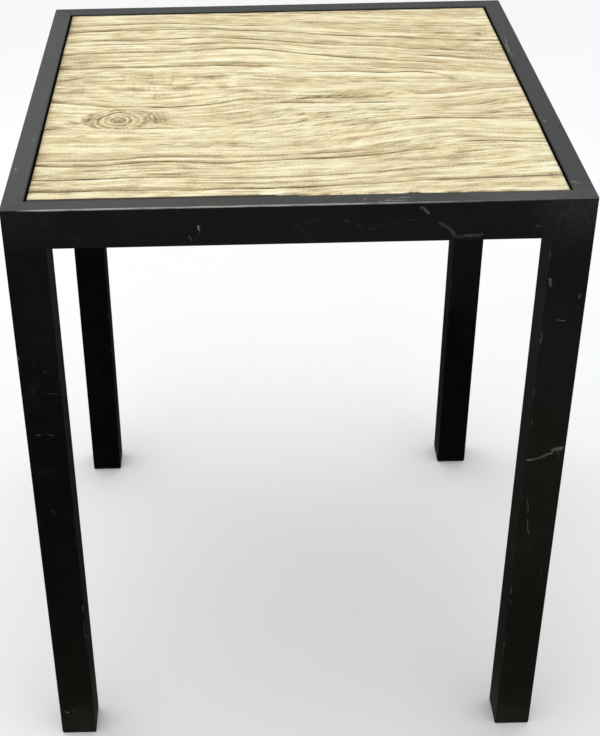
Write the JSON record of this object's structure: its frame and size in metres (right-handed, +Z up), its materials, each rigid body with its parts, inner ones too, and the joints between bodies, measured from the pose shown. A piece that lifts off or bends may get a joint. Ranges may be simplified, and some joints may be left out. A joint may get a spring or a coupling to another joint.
{
  "type": "bistro table",
  "caption": "Square cafe table with a welded black tube frame, straight corner legs and an inset wood-look panel.",
  "frame": {"origin": "on the floor, under the middle of the tabletop", "axes": "+Z up, +X to the right and along the tabletop's grain, +Y from the front to the back"},
  "size_m": [0.6096, 0.6096, 0.762],
  "materials": {
    "frame_paint": "satin powder coat, worn on the rim's front edge, scuffed and dusty",
    "top_wood_grain": "embossed wood-look laminate in pale cream with brown grain from side to side, low sheen",
    "core_board": "raw pressed board",
    "backing": "plain brown laminate, matte",
    "foot_plastic": "moulded black plastic, scuffed",
    "screw_steel": "zinc plated"
  },
  "bodies": {
    "root": {"front_rail": "frame_paint", "right_rail": "frame_paint", "back_rail": "frame_paint", "left_rail": "frame_paint", "front_left_leg": "frame_paint", "front_right_leg": "frame_paint", "back_left_leg": "frame_paint", "back_right_leg": "frame_paint", "front_left_corner_plate": "frame_paint", "front_right_corner_plate": "frame_paint", "back_left_corner_plate": "frame_paint", "back_right_corner_plate": "frame_paint", "front_ledge": "frame_paint", "right_ledge": "frame_paint", "back_ledge": "frame_paint", "left_ledge": "frame_paint", "front_left_foot_cap": "foot_plastic", "front_right_foot_cap": "foot_plastic", "back_left_foot_cap": "foot_plastic", "back_right_foot_cap": "foot_plastic", "top_laminate": "top_wood_grain", "tabletop_core": "core_board", "backing_laminate": "backing", "panel_screws": "screw_steel"}
  },
  "joints": []
}
